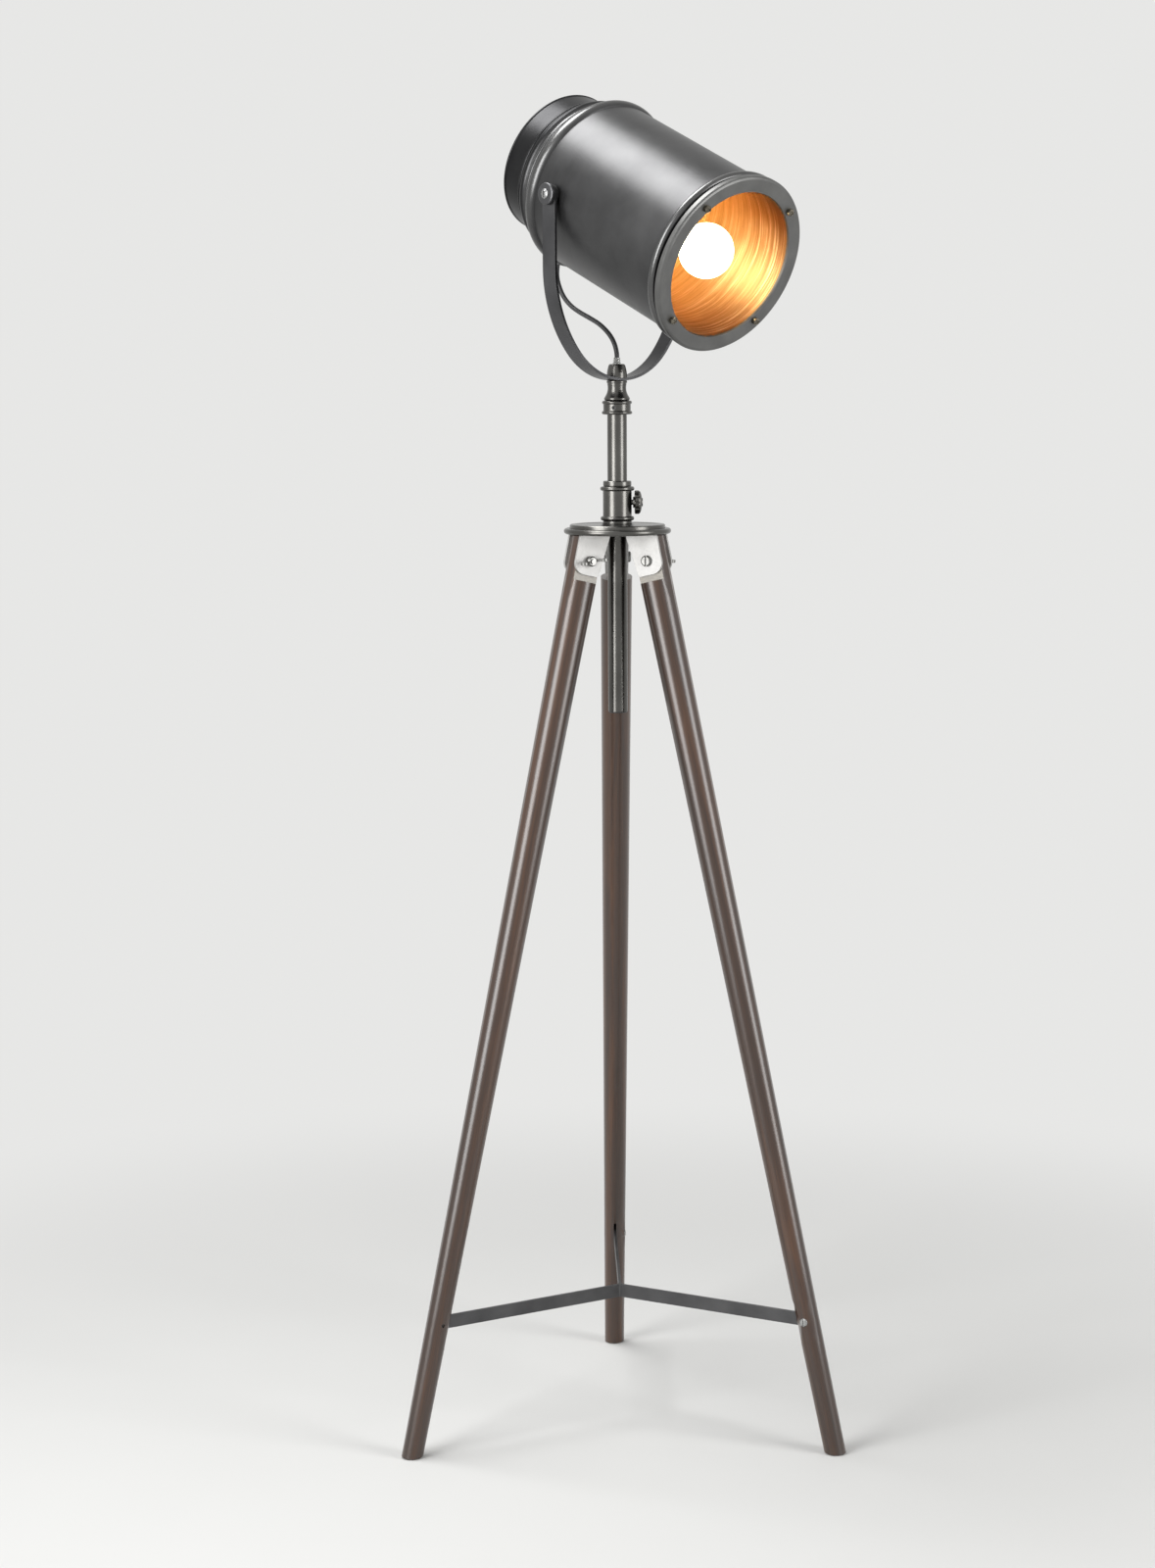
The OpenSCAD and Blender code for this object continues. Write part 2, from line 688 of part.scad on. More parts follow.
module rear_cap() {
    cap_bead = 2.4;
    roll = 1.7;
    line_bead = 1.6;
    line_bead_a = band_low_a + 4;
    end_a = -head_rear;
    band_foot_r = band_r - band_crown;
    band_half = (band_low_a - band_high_a) / 2;
    band_round_r = (pow(band_half, 2) + pow(band_crown, 2)) / (2 * band_crown);
    neck_r = band_r - 1.9;
    seat_r = shoulder_r + 0.5;
    tongue_r = shoulder_r - 0.3;
    wall_in_r = cap_wall_r - sheet;
    side_in_r = cap_side_r - sheet;
    color([0.30, 0.30, 0.32]) difference() {
        head_frame() rotate_extrude($fn = 144) difference() {
            union() {
                polygon([
                    [0, end_a], [cap_side_r - 9, end_a], [cap_side_r - 7, end_a + 1], [cap_side_r, end_a + 1],
                    [cap_side_r, cap_bead_a - 2], [cap_wall_r, cap_bead_a + 2], [cap_wall_r, band_high_a - 1.6],
                    [cap_wall_r + 1.6, band_high_a - 0.5], [band_foot_r, band_high_a],
                    [band_foot_r, band_low_a], [neck_r - 0.2, band_low_a + 0.6], [neck_r, line_bead_a],
                    [seat_r, line_bead_a], [seat_r, shoulder_a - 0.2], [tongue_r, shoulder_a - 0.2],
                    [tongue_r, shoulder_a + 4],
                    [tongue_r - sheet, shoulder_a + 4], [tongue_r - sheet, band_high_a + 0.5],
                    [wall_in_r, band_high_a - 1.5], [wall_in_r, cap_bead_a + 2], [side_in_r, cap_bead_a - 1],
                    [side_in_r, end_a + 1 + sheet], [cap_side_r - 8, end_a + 1 + sheet],
                    [cap_side_r - 10, end_a + sheet], [0, end_a + sheet]
                ]);
                // the band's rounded face
                intersection() {
                    translate([band_r - band_round_r, lead_a]) circle(r = band_round_r);
                    translate([band_foot_r - 1, band_high_a]) square([band_crown + 1, 2 * band_half]);
                }
                // small bead between the band and the can
                translate([band_r - 0.3 - line_bead, line_bead_a]) circle(r = line_bead, $fn = 48);
                translate([cap_wall_r + 0.4 - cap_bead, cap_bead_a]) circle(r = cap_bead, $fn = 48);
                translate([cap_side_r + 0.9 - roll, end_a + roll]) circle(r = roll, $fn = 48);
            }
            // hollow behind the rolled beads
            translate([0, end_a + 10]) square([side_in_r, shoulder_a - end_a - 10]);
            translate([0, band_low_a]) square([tongue_r - sheet, shoulder_a - band_low_a]);
        }
        // hole for the lead's grommet, in the underside
        head_frame() translate([0, 0, lead_a]) rotate([0, 90, 0]) cylinder(h = band_r + 10, r = grommet_r + run_gap);
    }
}

module bezel() {
    color([0.45, 0.45, 0.46]) head_frame() difference() {
        rotate_extrude($fn = 144) polygon([
            [opening_r, head_front - 1.6], [opening_r + 0.8, head_front], [bezel_r - 3.2, head_front],
            [bezel_r - 1.2, head_front - 0.7], [bezel_r, head_front - 2.2], [bezel_r, bezel_a + 1],
            [bezel_r - 1, bezel_a], [can_in_r - 0.3, bezel_a], [can_in_r - 0.3, bezel_a - 3.5],
            [bezel_rim_r, bezel_a - 3.5], [bezel_rim_r, head_front - bezel_t], [opening_r, head_front - bezel_t]
        ]);
        bezel_screw_places() cylinder(h = 20, d = bezel_screw_d + 2 * run_gap, center = true, $fn = 48);
    }
}

// The four screws' places on the bezel's front, Z outward
module bezel_screw_places() {
    for (k = [0:3]) {
        rotate([0, 0, 45 + 90 * k]) translate([bezel_screw_r, 0, head_front]) children();
    }
}

// Screws with tall drum-shaped heads that stand off the bezel
module bezel_screws() {
    crown = 1.9;
    drum = bezel_screw_head_h - crown;
    cross_w = 1;
    color([0.30, 0.24, 0.16]) head_frame() bezel_screw_places() difference() {
        union() {
            translate([0, 0, -9]) cylinder(h = 9, d = bezel_screw_d, $fn = 48);
            cylinder(h = drum, r = bezel_screw_head_r, $fn = 48);
            translate([0, 0, drum]) cylinder(h = crown, r1 = bezel_screw_head_r, r2 = 2.2, $fn = 48);
        }
        translate([0, 0, bezel_screw_head_h]) cube([cross_w, 10, 2], center = true);
        translate([0, 0, bezel_screw_head_h]) cube([10, cross_w, 2], center = true);
    }
}

// Copper reflector's wall, with a flange clamped behind the bezel
module liner() {
    wall_low_a = liner_back_a + 6;
    color([0.80, 0.47, 0.24]) head_frame() difference() {
        rotate_extrude($fn = 144) polygon([
            [liner_r, wall_low_a], [liner_r + liner_t, wall_low_a], [liner_r + liner_t, flange_a - liner_t],
            [flange_r, flange_a - liner_t], [flange_r, flange_a], [liner_r, flange_a]
        ]);
        bezel_screw_places() cylinder(h = 20, d = bezel_screw_d + 2 * run_gap, center = true, $fn = 48);
    }
}

// Copper reflector's back: a dish whose lip is pressed into the wall
module liner_back() {
    lip_r = liner_r - run_gap;
    color([0.80, 0.47, 0.24]) head_frame() rotate_extrude($fn = 144) polygon([
        [holder_seat_r, liner_back_a], [lip_r - 8, liner_back_a], [lip_r - 2.4, liner_back_a + 2.4],
        [lip_r, liner_back_a + 8], [lip_r, liner_back_a + 6 + liner_lap],
        [lip_r - liner_t, liner_back_a + 6 + liner_lap], [lip_r - liner_t, liner_back_a + 8.6],
        [lip_r - 3.2, liner_back_a + 3.2], [lip_r - 8.4, liner_back_a + liner_t],
        [holder_seat_r, liner_back_a + liner_t]
    ]);
}

// Lamp holder: its flange lies on the reflector's back and its mouth faces front
module lamp_holder() {
    low = liner_back_a - 14;
    mouth_a = bulb_cap_a + 26;
    hub_r = holder_seat_r - 0.3;
    color([0.10, 0.10, 0.10]) head_frame() turned([
        [3, low], [holder_r - 6, low], [holder_r - 4, low + 2], [holder_r - 4, liner_back_a - 1],
        [holder_r, liner_back_a - 0.2], [hub_r, liner_back_a - 0.2], [hub_r, liner_back_a + liner_t + 0.1],
        [holder_r + 6, liner_back_a + liner_t + 0.1], [holder_r + 6, liner_back_a + 3],
        [holder_r + 5, liner_back_a + 4], [holder_r, liner_back_a + 4.4], [holder_r, mouth_a - 2],
        [holder_r - 1, mouth_a], [holder_bore_r, mouth_a], [holder_bore_r, bulb_cap_a], [3, bulb_cap_a]
    ]);
}

module bulb_cap() {
    color([0.72, 0.70, 0.66]) head_frame() turned([
        [0, bulb_cap_a], [4.5, bulb_cap_a], [4.5, bulb_cap_a + 1.4], [9, bulb_cap_a + 2.6],
        [bulb_cap_r, bulb_cap_a + 5], [bulb_cap_r, bulb_neck_a - 1], [bulb_cap_r - 1.6, bulb_neck_a + 0.5],
        [bulb_cap_r - 1.6, bulb_neck_a + 2], [0, bulb_neck_a + 2]
    ]);
}

// Glass bulb: a thin shell, its neck standing on the cap
module bulb_glass() {
    shell = 0.9;
    arc_from = -52;
    neck_r = bulb_cap_r - 0.8;
    neck_low_a = bulb_neck_a + 2.1;
    outer = [for (k = [0:24]) let (w = arc_from + k * (90 - arc_from) / 24)
        [bulb_r * cos(w), bulb_a + bulb_r * sin(w)]];
    inner = [for (k = [0:24]) let (w = 90 - k * (90 - arc_from) / 24)
        [(bulb_r - shell) * cos(w), bulb_a + (bulb_r - shell) * sin(w)]];
    flare = [[16.6, bulb_a - 28.6], [14.6, bulb_a - 34.5], [bulb_cap_r, bulb_a - 42]];
    color([0.98, 0.95, 0.86]) head_frame() turned(concat(
        [[neck_r - shell, neck_low_a], [neck_r, neck_low_a], [neck_r, bulb_neck_a + 6]],
        [flare[2], flare[1], flare[0]], outer, inner,
        [flare[0] - [shell, 0], flare[1] - [shell, 0], flare[2] - [shell, 0], [neck_r - shell, bulb_neck_a + 6]]
    ));
}

// Rubber grommet in the rear cap's underside, where the lead goes in
module lead_grommet() {
    bore = lead_r + lead_gap;
    color([0.08, 0.08, 0.08]) head_frame() translate([0, 0, lead_a]) rotate([0, 90, 0]) turned([
        [bore, band_r - 5.5], [grommet_r + 0.3, band_r - 5.5], [grommet_r + 0.5, band_r - 5],
        [grommet_r + 0.5, band_r - 3.9], [grommet_r, band_r - 3.5], [grommet_r, band_r + 0.15],
        [grommet_r + 0.6, band_r + 0.15], [grommet_r + 0.6, band_r + 1.2],
        [grommet_r, band_r + 1.9], [bore, band_r + 1.9]
    ]);
}

// ---- lead ----

lead_sides = 10;
// where the lead passes through the grommet, in the yoke's frame
function can_point(along, down) = [
    along * cos(head_dip) - down * sin(head_dip),
    pivot_rise - along * sin(head_dip) - down * cos(head_dip)
];
lead_ends = [can_point(lead_a, band_r + 8), can_point(lead_a, band_r), can_point(lead_a, band_r - 7)];
lead_knots = concat(lead_path, lead_ends);

// A smooth curve through the knots, eased by each knot's neighbours
function knot(i) = lead_knots[max(0, min(len(lead_knots) - 1, i))];
function curve_at(i, u) = 0.5 * (
    2 * knot(i) + (knot(i + 1) - knot(i - 1)) * u
    + (2 * knot(i - 1) - 5 * knot(i) + 4 * knot(i + 1) - knot(i + 2)) * u * u
    + (3 * knot(i) - 3 * knot(i + 1) + knot(i + 2) - knot(i - 1)) * u * u * u
);
lead_steps = 2;
lead_line = [
    for (i = [0:len(lead_knots) - 2], k = [0:lead_steps - 1]) curve_at(i, k / lead_steps),
    lead_knots[len(lead_knots) - 1]
];
function line_dir(i) =
    let (a = lead_line[max(0, i - 1)], b = lead_line[min(len(lead_line) - 1, i + 1)]) (b - a) / norm(b - a);

module head_lead() {
    rings = len(lead_line);
    points = [
        for (i = [0:rings - 1], k = [0:lead_sides - 1])
            let (w = 360 * k / lead_sides, d = line_dir(i), side = lead_r * cos(w))
            [lead_line[i][0] + side * d[1], lead_r * sin(w), yoke_low_z + lead_line[i][1] - side * d[0]]
    ];
    walls = [
        for (i = [0:rings - 2], k = [0:lead_sides - 1])
            let (n = (k + 1) % lead_sides)
            [i * lead_sides + k, i * lead_sides + n, (i + 1) * lead_sides + n, (i + 1) * lead_sides + k]
    ];
    ends = [
        [for (k = [lead_sides - 1:-1:0]) k],
        [for (k = [0:lead_sides - 1]) (rings - 1) * lead_sides + k]
    ];
    color([0.10, 0.10, 0.10]) yoke_frame() polyhedron(points = points, faces = concat(walls, ends));
}

// ---- drawing ----

leg_1();
leg_2();
leg_3();
leg_hub();
hub_disc();
collar();
leg_bolts();
wing_nut_1();
wing_nut_2();
wing_nut_3();
spreader();
spreader_screws();
clamp_knob();
mast_tube();
mast_bush();
swivel_ring();
ring_screw();
neck();
yoke();
neck_tube();
neck_nut();
dome_nut();
lead_bush();
pivot_washers();
pivot_caps();
pivot_screws();
pivot_nuts();
can();
rear_cap();
bezel();
bezel_screws();
liner();
liner_back();
lamp_holder();
bulb_cap();
bulb_glass();
lead_grommet();
head_lead();
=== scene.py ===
import json
import math

import bpy
from mathutils import Matrix, Vector


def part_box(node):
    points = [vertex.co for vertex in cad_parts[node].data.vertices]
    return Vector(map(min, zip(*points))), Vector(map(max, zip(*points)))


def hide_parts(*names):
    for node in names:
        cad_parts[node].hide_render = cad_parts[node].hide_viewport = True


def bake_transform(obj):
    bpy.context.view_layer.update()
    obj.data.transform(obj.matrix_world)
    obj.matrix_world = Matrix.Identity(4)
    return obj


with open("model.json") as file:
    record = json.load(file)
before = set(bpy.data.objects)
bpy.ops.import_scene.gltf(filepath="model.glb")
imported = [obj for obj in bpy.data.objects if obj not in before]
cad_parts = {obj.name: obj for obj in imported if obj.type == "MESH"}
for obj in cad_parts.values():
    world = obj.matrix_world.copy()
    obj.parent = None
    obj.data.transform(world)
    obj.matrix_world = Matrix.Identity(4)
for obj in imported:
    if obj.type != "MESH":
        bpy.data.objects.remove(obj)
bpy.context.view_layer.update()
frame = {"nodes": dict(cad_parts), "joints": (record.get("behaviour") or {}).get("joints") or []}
scene = bpy.context.scene
nodes = frame["nodes"]
joints = {joint["name"]: joint for joint in frame["joints"]}

# the view of the photograph
cameraView = {
    "place": (-0.0938, -3.5328, 1.2250),
    "yaw": 0.767,     # degrees to the right of +Y
    "pitch": -7.743,  # degrees, down
    "roll": -0.305,
    "lens": 71.93,    # millimetres
    "film": 36,       # millimetres along the picture's long side
}


def makeCamera():
    data = bpy.data.cameras.new("photoCamera")
    data.lens = cameraView["lens"]
    data.sensor_width = cameraView["film"]
    camera = bpy.data.objects.new("photoCamera", data)
    yaw, pitch, roll = (math.radians(cameraView[name]) for name in ("yaw", "pitch", "roll"))
    aim = Matrix.Rotation(-yaw, 4, "Z") @ Matrix.Rotation(math.pi / 2 + pitch, 4, "X")
    camera.matrix_world = Matrix.Translation(cameraView["place"]) @ aim @ Matrix.Rotation(roll, 4, "Z")
    scene.collection.objects.link(camera)
    scene.camera = camera


makeCamera()
print("camera placed")


# the pieces' own frames, at rest
legCount = 3
pivotPlace = joints["head_tilt"]["pos_m"]
pivotAxis = joints["head_tilt"]["axis"]
boltPlace = joints["wing_nut_1_turn"]["pos_m"]  # on the rear leg, which stands towards +Y
pose = {
    "headTurn": math.atan2(-pivotAxis[0], -pivotAxis[1]),  # clockwise from +X
    "headDip": math.radians(24.1),         # below the horizontal
    "yokeSeat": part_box("yoke")[0][2],      # height of the yoke's seat on its neck
    "boltReach": boltPlace[1],
    "boltHeight": boltPlace[2],
    "footReach": 0.2755,                   # from the mast's axis to the middle of a foot
}

upright = Matrix.Identity(4)
yokeFrame = Matrix.Rotation(-pose["headTurn"], 4, "Z")
headFrame = (
    yokeFrame
    @ Matrix.Translation(pivotPlace)
    @ Matrix.Rotation(math.pi / 2 + pose["headDip"], 4, "Y")
)
legLean = math.atan((pose["footReach"] - pose["boltReach"]) / pose["boltHeight"])


def legFrame(number):  # Z up along the leg from its hinge bolt, X outward
    return (
        Matrix.Rotation(math.radians(90 + 360 / legCount * number), 4, "Z")
        @ Matrix.Translation((pose["boltReach"], 0, pose["boltHeight"]))
        @ Matrix.Rotation(-legLean, 4, "Y")
    )


# the lead from the dome nut to the head
lead = {
    "diameter": 0.0054,
    "length": 0.1872,
    "steps": 6,            # points on the curve for each knot of the route
    "roundness": 5,        # of the tube, as the curve's bevel resolution
    "entry": -0.0595,      # where it goes in, along the can's axis from the pivot
    "bandRadius": 0.0883,  # of the rear cap there
    "entryKnots": (0.008, 0, -0.007),  # outside that radius, on it and inside
    "heldKnots": 2,        # at each end, that keep to their own body
}

# millimetres in front of the mast's axis and above the yoke's seat
leadRoute = [
    (0, 18.6), (0, 29), (-3, 39), (-9, 48), (-18, 56), (-30, 63.5), (-45, 70),
    (-60, 76), (-74, 83), (-86, 92.5), (-94, 104), (-98.5, 117), (-97.5, 130),
]


def leadKnots():
    knots = []
    for ahead, up in leadRoute:
        knots.append(yokeFrame @ Vector((ahead / 1000, 0, pose["yokeSeat"] + up / 1000)))
    for clear in lead["entryKnots"]:
        knots.append(headFrame @ Vector((lead["bandRadius"] + clear, 0, lead["entry"])))
    return knots


def smoothLine(knots, steps):  # a line through all the knots, bent evenly between them
    line = []
    last = len(knots) - 1
    for i in range(last):
        before, start, end, after = (knots[max(0, min(last, i + k))] for k in (-1, 0, 1, 2))
        for step in range(steps):
            u = step / steps
            line.append(0.5 * (
                2 * start + (end - before) * u
                + (2 * before - 5 * start + 4 * end - after) * u * u
                + (3 * start - 3 * end + after - before) * u * u * u
            ))
    return line + [knots[-1]]


def tubeMesh(line):
    curve = bpy.data.curves.new("headLeadLine", "CURVE")
    curve.dimensions = "3D"
    curve.bevel_depth = lead["diameter"] / 2
    curve.bevel_resolution = lead["roundness"]
    curve.use_fill_caps = True
    spline = curve.splines.new("POLY")
    spline.points.add(len(line) - 1)
    for point, place in zip(spline.points, line):
        point.co = (*place, 1)
    drawn = bpy.data.objects.new("headLeadLine", curve)
    scene.collection.objects.link(drawn)
    bpy.context.view_layer.update()
    mesh = bpy.data.meshes.new_from_object(drawn.evaluated_get(bpy.context.evaluated_depsgraph_get()))
    bpy.data.objects.remove(drawn)
    mesh.materials.clear()
    for face in mesh.polygons:
        face.use_smooth = True
    return mesh


def makeLead():
    line = smoothLine(leadKnots(), lead["steps"])
    piece = bpy.data.objects.new("headLead", tubeMesh(line))
    scene.collection.objects.link(piece)
    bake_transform(piece)
    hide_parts("head_lead")
    return piece


headLead = makeLead()
print("lead made")


noiseReach = (0.3, 0.7)  # where most of a noise's values lie


def linear(*seen):  # a colour as seen on screen, 0 to 255, in the renderer's own scale
    return tuple((c / 255 / 12.92) if c <= 10 else ((c / 255 + 0.055) / 1.055) ** 2.4 for c in seen)


def grey(value):
    return (value, value, value)


def aroundPlace(place, width):
    return (place - width, place + width)


def newMaterial(name, metallic=0.0):
    material = bpy.data.materials.new(name)
    material.use_nodes = True
    shader = material.node_tree.nodes["Principled BSDF"]
    shader.inputs["Metallic"].default_value = metallic
    return material, material.node_tree, shader


def setSockets(shader, values):
    for name, value in values.items():
        shader.inputs[name].default_value = value


def add(tree, kind, inputs=None, **settings):
    node = tree.nodes.new("ShaderNode" + kind)
    for name, value in settings.items():
        setattr(node, name, value)
    for name, value in (inputs or {}).items():
        if isinstance(value, bpy.types.NodeSocket):
            tree.links.new(value, node.inputs[name])
        else:
            node.inputs[name].default_value = value
    return node


def calc(tree, operation, first, second=0.0):
    return add(tree, "Math", {0: first, 1: second}, operation=operation).outputs[0]


def vectorMath(tree, operation, first, second=(0, 0, 0)):
    return add(tree, "VectorMath", {0: first, 1: second}, operation=operation).outputs[0]


def vectorLength(tree, vector):
    return add(tree, "VectorMath", {0: vector}, operation="LENGTH").outputs["Value"]


def stirred(tree, first, second, share):  # two values, with that share of the second
    kept = calc(tree, "MULTIPLY", first, 1 - share)
    return calc(tree, "ADD", kept, calc(tree, "MULTIPLY", second, share))


def mixColour(tree, factor, first, second):  # 6 and 7 are the node's colour sockets
    return add(tree, "Mix", {0: factor, 6: first, 7: second}, data_type="RGBA").outputs[2]


def ramp(tree, factor, *stops):  # stops are (place, colour)
    node = add(tree, "ValToRGB", {"Fac": factor})
    elements = node.color_ramp.elements
    while len(elements) < len(stops):
        elements.new(0.5)
    for element, (place, colour) in zip(elements, stops):
        element.position = place
        element.color = (*colour, 1)
    return node.outputs["Color"]


def twoTone(tree, value, dark, light):  # noise onto two colours
    return ramp(tree, value, (noiseReach[0], dark), (noiseReach[1], light))


def spread(tree, value, low, high, reach=noiseReach):  # noise, or a place, onto a range
    return add(tree, "MapRange", {"Value": value, "From Min": reach[0], "From Max": reach[1],
                                  "To Min": low, "To Max": high}).outputs[0]


def localPoint(tree, placed=upright):  # Object coordinates in a piece's own frame
    back = placed.inverted()
    point = add(tree, "TexCoord").outputs["Object"]
    return add(tree, "Mapping", {"Vector": point, "Location": back.to_translation(),
                                 "Rotation": back.to_euler("XYZ")}).outputs["Vector"]


def alongAxis(tree, point):
    return add(tree, "SeparateXYZ", {0: point}).outputs["Z"]


def acrossAxis(tree, point):
    return vectorMath(tree, "MULTIPLY", point, (1, 1, 0))


def noise(tree, point, scale=1.0, detail=2.0, rough=0.5, distortion=0.0):
    return add(tree, "TexNoise", {"Vector": point, "Scale": scale, "Detail": detail, "Roughness": rough,
                                  "Distortion": distortion}).outputs["Fac"]


def streaky(tree, point, grain, **settings):  # noise that changes at its own pace along each axis
    return noise(tree, vectorMath(tree, "MULTIPLY", point, grain), **settings)


def bump(tree, shader, height, distance, edge=0.0):
    inputs = {"Height": height, "Distance": distance, "Strength": 1.0}
    if edge:
        inputs["Normal"] = add(tree, "Bevel", {"Radius": edge}, samples=4).outputs[0]
    made = add(tree, "Bump", inputs)
    tree.links.new(made.outputs[0], shader.inputs["Normal"])


# points that run round a turned piece: long streaks round it, fine steps along and outward
def turnedPoint(tree, point, fine, around):
    flat = acrossAxis(tree, point)
    heading = add(tree, "SeparateXYZ", {0: vectorMath(tree, "NORMALIZE", flat)}).outputs
    reached = calc(tree, "ADD", vectorLength(tree, flat), alongAxis(tree, point))
    return add(tree, "CombineXYZ", {
        "X": calc(tree, "MULTIPLY", heading["X"], around),
        "Y": calc(tree, "MULTIPLY", heading["Y"], around),
        "Z": calc(tree, "MULTIPLY", reached, fine),
    }).outputs[0]


nickel = ((0.078, 0.076, 0.071), (0.13, 0.127, 0.12))  # tones that its two finishes share

# metal spun or turned about its frame's Z axis; tones are a dark and a light one, rings and
# clouds are noise steps per metre, relief and the softened edge are metres
turnedLooks = {
    "polishedNickel": {
        "frame": upright, "tones": nickel, "roughness": (0.22, 0.29),
        "rings": 1500, "clouds": 18, "relief": 0.000003, "edge": 0.0004,
    },
    "mastNickel": {
        "frame": upright, "tones": nickel, "roughness": (0.24, 0.31),
        "rings": 60, "clouds": 12, "relief": 0.000001,
    },
    "spunPewter": {
        "frame": headFrame, "tones": ((0.056, 0.056, 0.057), (0.082, 0.082, 0.083)),
        "roughness": (0.33, 0.44), "rings": 1300, "clouds": 14, "relief": 0.00002,
        "paintedBeadHighlight": {  # the raised beads, outside that radius, are painted lighter as a highlight, and are smoother
            "radius": 0.0968, "fade": 0.001, "tones": (grey(0.10), grey(0.14)), "smoother": 0.1,
        },
    },
    # lighter tones than the can's pewter: a painted highlight on the rear cap's small bead
    "rearPewter": {
        "frame": headFrame, "tones": ((0.085, 0.085, 0.086), (0.12, 0.12, 0.121)),
        "roughness": (0.3, 0.4), "rings": 1300, "clouds": 20, "relief": 0.000008,
        "behind": {  # the band and the end, rearward of that place on the can's axis, are darker: painted shade
            "place": -0.0565, "fade": 0.0015, "tones": ((0.02, 0.02, 0.021), (0.034, 0.034, 0.035)),
        },
    },
    "bezelPewter": {
        "frame": headFrame, "tones": ((0.12, 0.12, 0.118), (0.16, 0.16, 0.156)),
        "roughness": (0.38, 0.5), "rings": 1600, "clouds": 30, "relief": 0.00003, "edge": 0.0005,
    },
    # a lighter copy of the reflector's copper: painted light from the bulb on the cup's back
    "copperBack": {
        "frame": headFrame, "tones": ((0.84, 0.58, 0.30), (0.93, 0.70, 0.40)), "roughness": (0.5, 0.62),
        "rings": 400, "clouds": 18, "relief": 0.00002,
    },
}
turning = {
    "around": 1.5,      # how fast the rings change on their way round
    "cloudShare": 0.4,  # of the patina in the roughness
}

# metal brushed or drawn along one line; grain is how fast the streaks change along each of the
# frame's axes
drawnLooks = {
    "strapNickel": {
        "frame": yokeFrame, "tones": ((0.07, 0.07, 0.073), (0.11, 0.11, 0.114)), "roughness": (0.3, 0.42),
        "grain": (1600, 30, 30), "relief": 0.00002, "edge": 0.0005,
    },
    "barSteel": {
        "frame": upright, "tones": ((0.065, 0.065, 0.067), (0.10, 0.10, 0.102)),
        "roughness": (0.38, 0.52), "grain": (60, 60, 1800), "relief": 0.00003, "edge": 0.0003,
    },
    "brightSteel": {
        "frame": upright, "tones": ((0.34, 0.34, 0.335), (0.46, 0.46, 0.455)), "roughness": (0.2, 0.32),
        "grain": (500, 500, 500), "relief": 0.00001, "edge": 0.0003,
    },
    "dullZinc": {
        "frame": upright, "tones": ((0.17, 0.168, 0.16), (0.26, 0.258, 0.25)), "roughness": (0.26, 0.4),
        "grain": (500, 500, 500), "relief": 0.00002, "edge": 0.0003,
    },
    "pivotSteel": {
        "frame": headFrame, "tones": (grey(0.30), grey(0.42)), "roughness": (0.2, 0.32),
        "grain": (500, 500, 500), "relief": 0.00001, "edge": 0.0003,
    },
    "darkBronze": {
        "frame": headFrame, "tones": ((0.13, 0.115, 0.09), (0.22, 0.20, 0.16)), "roughness": (0.22, 0.34),
        "grain": (700, 700, 700), "relief": 0.00002, "edge": 0.0003,
    },
    "plainBrass": {
        "frame": upright, "tones": ((0.50, 0.38, 0.17), (0.62, 0.48, 0.24)), "roughness": (0.25, 0.4),
        "grain": (80, 80, 2400), "relief": 0.00003, "edge": 0.0003,
    },
}
drawnClouds = 22.0  # steps per metre of their patina


def turnedMetal(name, look):
    material, tree, shader = newMaterial(name, metallic=1.0)
    point = localPoint(tree, look["frame"])
    cloudy = noise(tree, point, look["clouds"], detail=4, rough=0.6)
    colour = twoTone(tree, cloudy, *look["tones"])
    fine = noise(tree, turnedPoint(tree, point, look["rings"], turning["around"]), detail=3, rough=0.65)
    roughness = spread(tree, stirred(tree, fine, cloudy, turning["cloudShare"]), *look["roughness"])
    # painted shade: a darker colour on the rear cap's band and end
    behind = look.get("behind")
    if behind:
        change = aroundPlace(behind["place"], behind["fade"])
        rearward = spread(tree, alongAxis(tree, point), 1.0, 0.0, change)
        colour = mixColour(tree, rearward, colour, twoTone(tree, cloudy, *behind["tones"]))
    # painted highlight: a lighter colour on the can's raised beads, with less roughness there
    paintedBeadHighlight = look.get("paintedBeadHighlight")
    if paintedBeadHighlight:
        radius = vectorLength(tree, acrossAxis(tree, point))
        raised = spread(tree, radius, 0.0, 1.0, aroundPlace(paintedBeadHighlight["radius"], paintedBeadHighlight["fade"]))
        colour = mixColour(tree, raised, colour, twoTone(tree, cloudy, *paintedBeadHighlight["tones"]))
        smoother = calc(tree, "MULTIPLY", raised, paintedBeadHighlight["smoother"])
        roughness = calc(tree, "SUBTRACT", roughness, smoother)
    tree.links.new(colour, shader.inputs["Base Color"])
    tree.links.new(roughness, shader.inputs["Roughness"])
    bump(tree, shader, fine, look["relief"], look.get("edge", 0.0))
    return material


def drawnMetal(name, look):
    material, tree, shader = newMaterial(name, metallic=1.0)
    point = localPoint(tree, look["frame"])
    streaks = streaky(tree, point, look["grain"], detail=3, rough=0.6)
    cloudy = noise(tree, point, drawnClouds, detail=3)
    tree.links.new(twoTone(tree, cloudy, *look["tones"]), shader.inputs["Base Color"])
    tree.links.new(spread(tree, streaks, *look["roughness"]), shader.inputs["Roughness"])
    bump(tree, shader, streaks, look["relief"], look["edge"])
    return material


# the light plate and ears under the hub
castSilverLook = {
    "tones": ((0.41, 0.405, 0.395), (0.50, 0.495, 0.485)),
    "roughness": (0.54, 0.68),
    "grains": 900,
    "clouds": 45,
    "relief": 0.00005,
    "edge": 0.0005,
}


